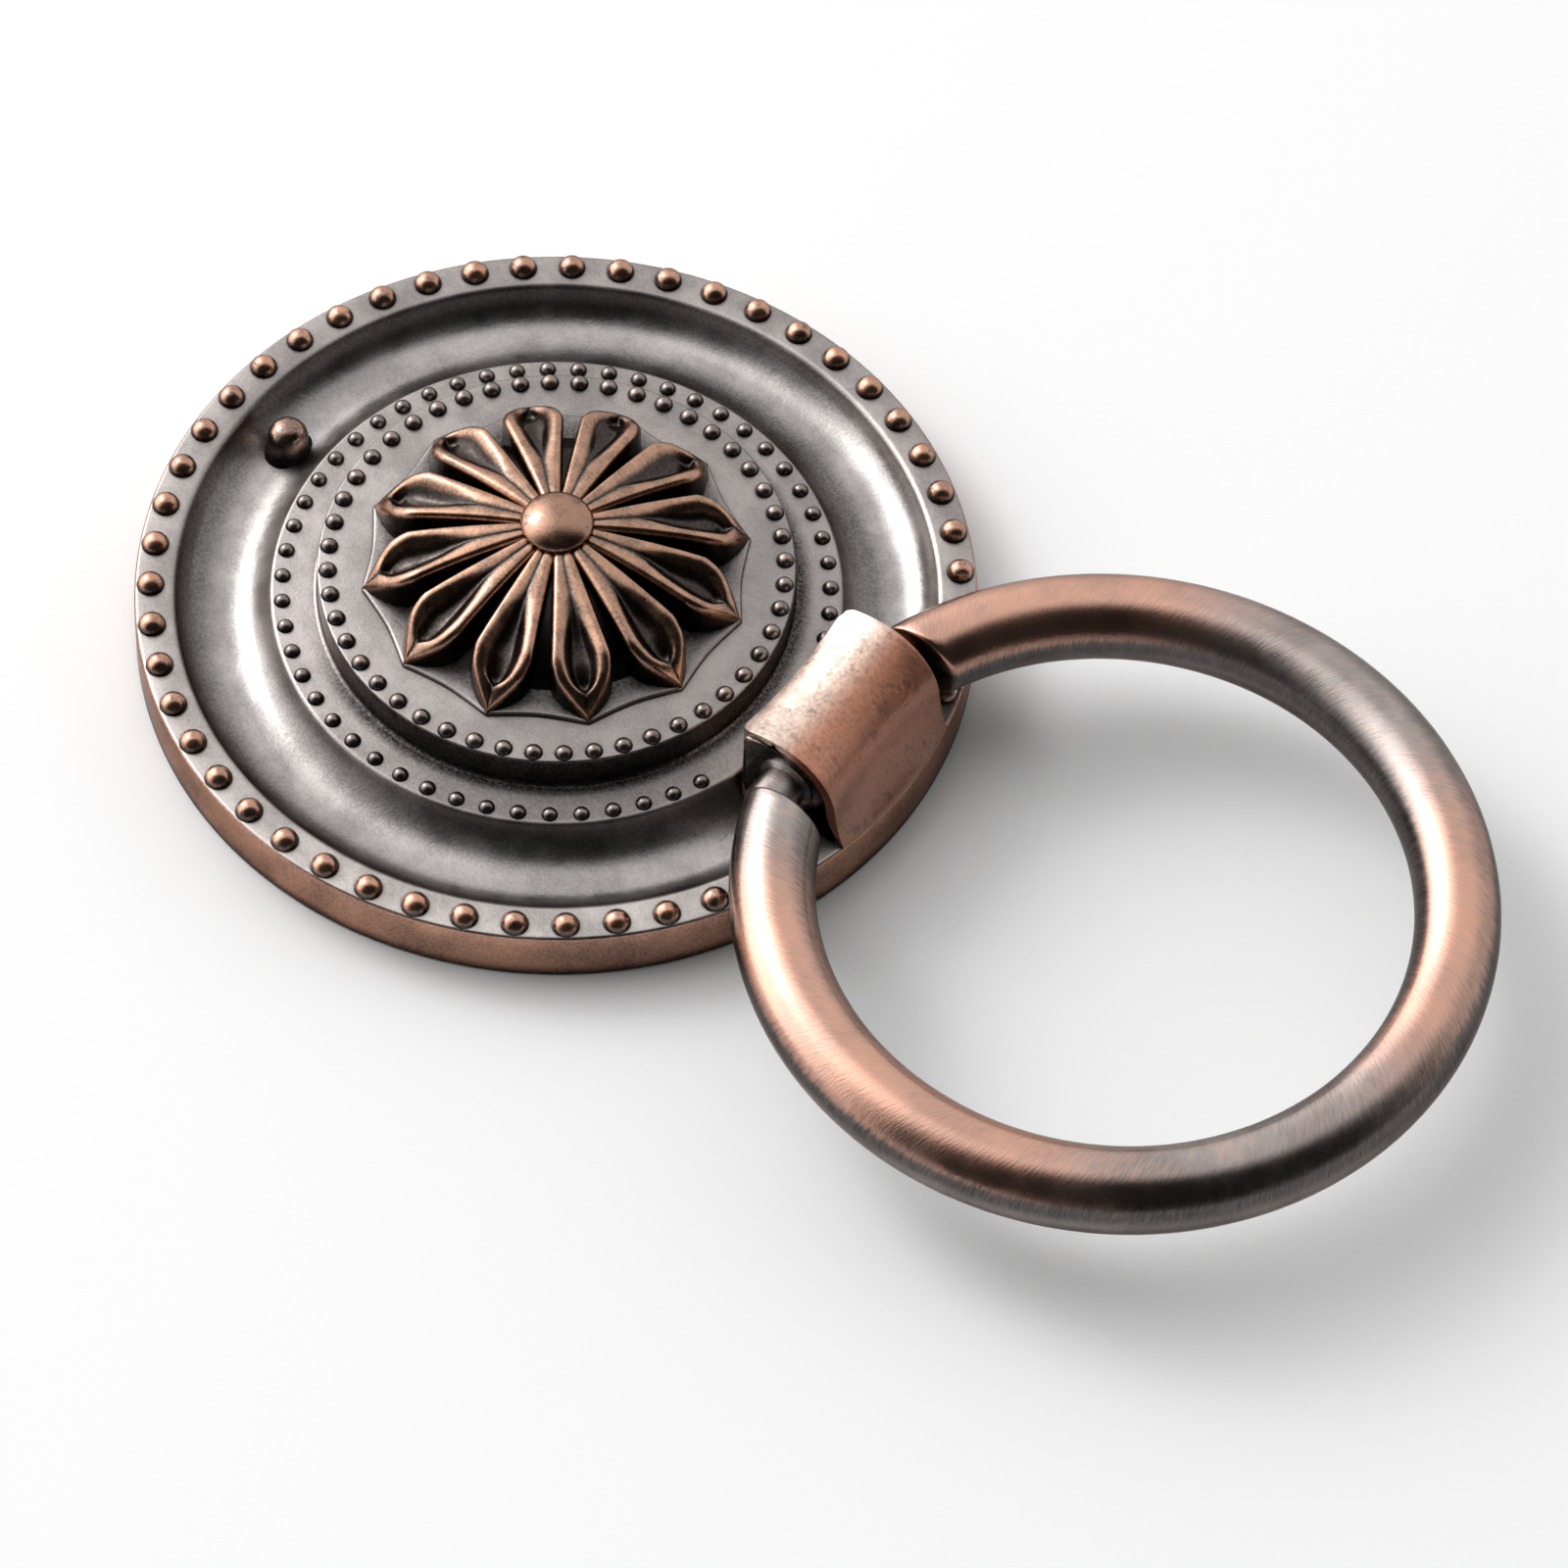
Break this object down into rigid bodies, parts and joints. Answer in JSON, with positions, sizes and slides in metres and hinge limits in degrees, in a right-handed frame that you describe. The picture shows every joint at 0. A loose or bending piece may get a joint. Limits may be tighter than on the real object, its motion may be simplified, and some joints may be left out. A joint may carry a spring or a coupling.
{
  "type": "ring pull handle",
  "caption": "Round beaded backplate with a carved rosette, and a plain ring hung in a saddle lug, for a drawer or a cabinet door.",
  "frame": {"origin": "centre of the backplate's flat back, at the mouth of the tapped hole for the fixing screw", "axes": "+Z out of the furniture's face, +X from the plate's centre to the lug that the ring hangs from"},
  "size_m": [0.1137, 0.065, 0.0148],
  "materials": {
    "plate_metal": "antique copper plating over die-cast zinc alloy: dark patina in the hollows, rubbed copper on the high spots",
    "ring_metal": "antique copper plating over die-cast zinc alloy, brushed across the bar"
  },
  "bodies": {
    "backplate": {"backplate": "plate_metal"},
    "ring": {"ring": "ring_metal"}
  },
  "joints": [
    {"name": "ring_swing", "type": "hinge", "parent": "backplate", "child": "ring", "pos_m": [0.0264, 0, 0.00932], "axis": [0, -1, 0], "range_deg": [0, 181.4]}
  ]
}
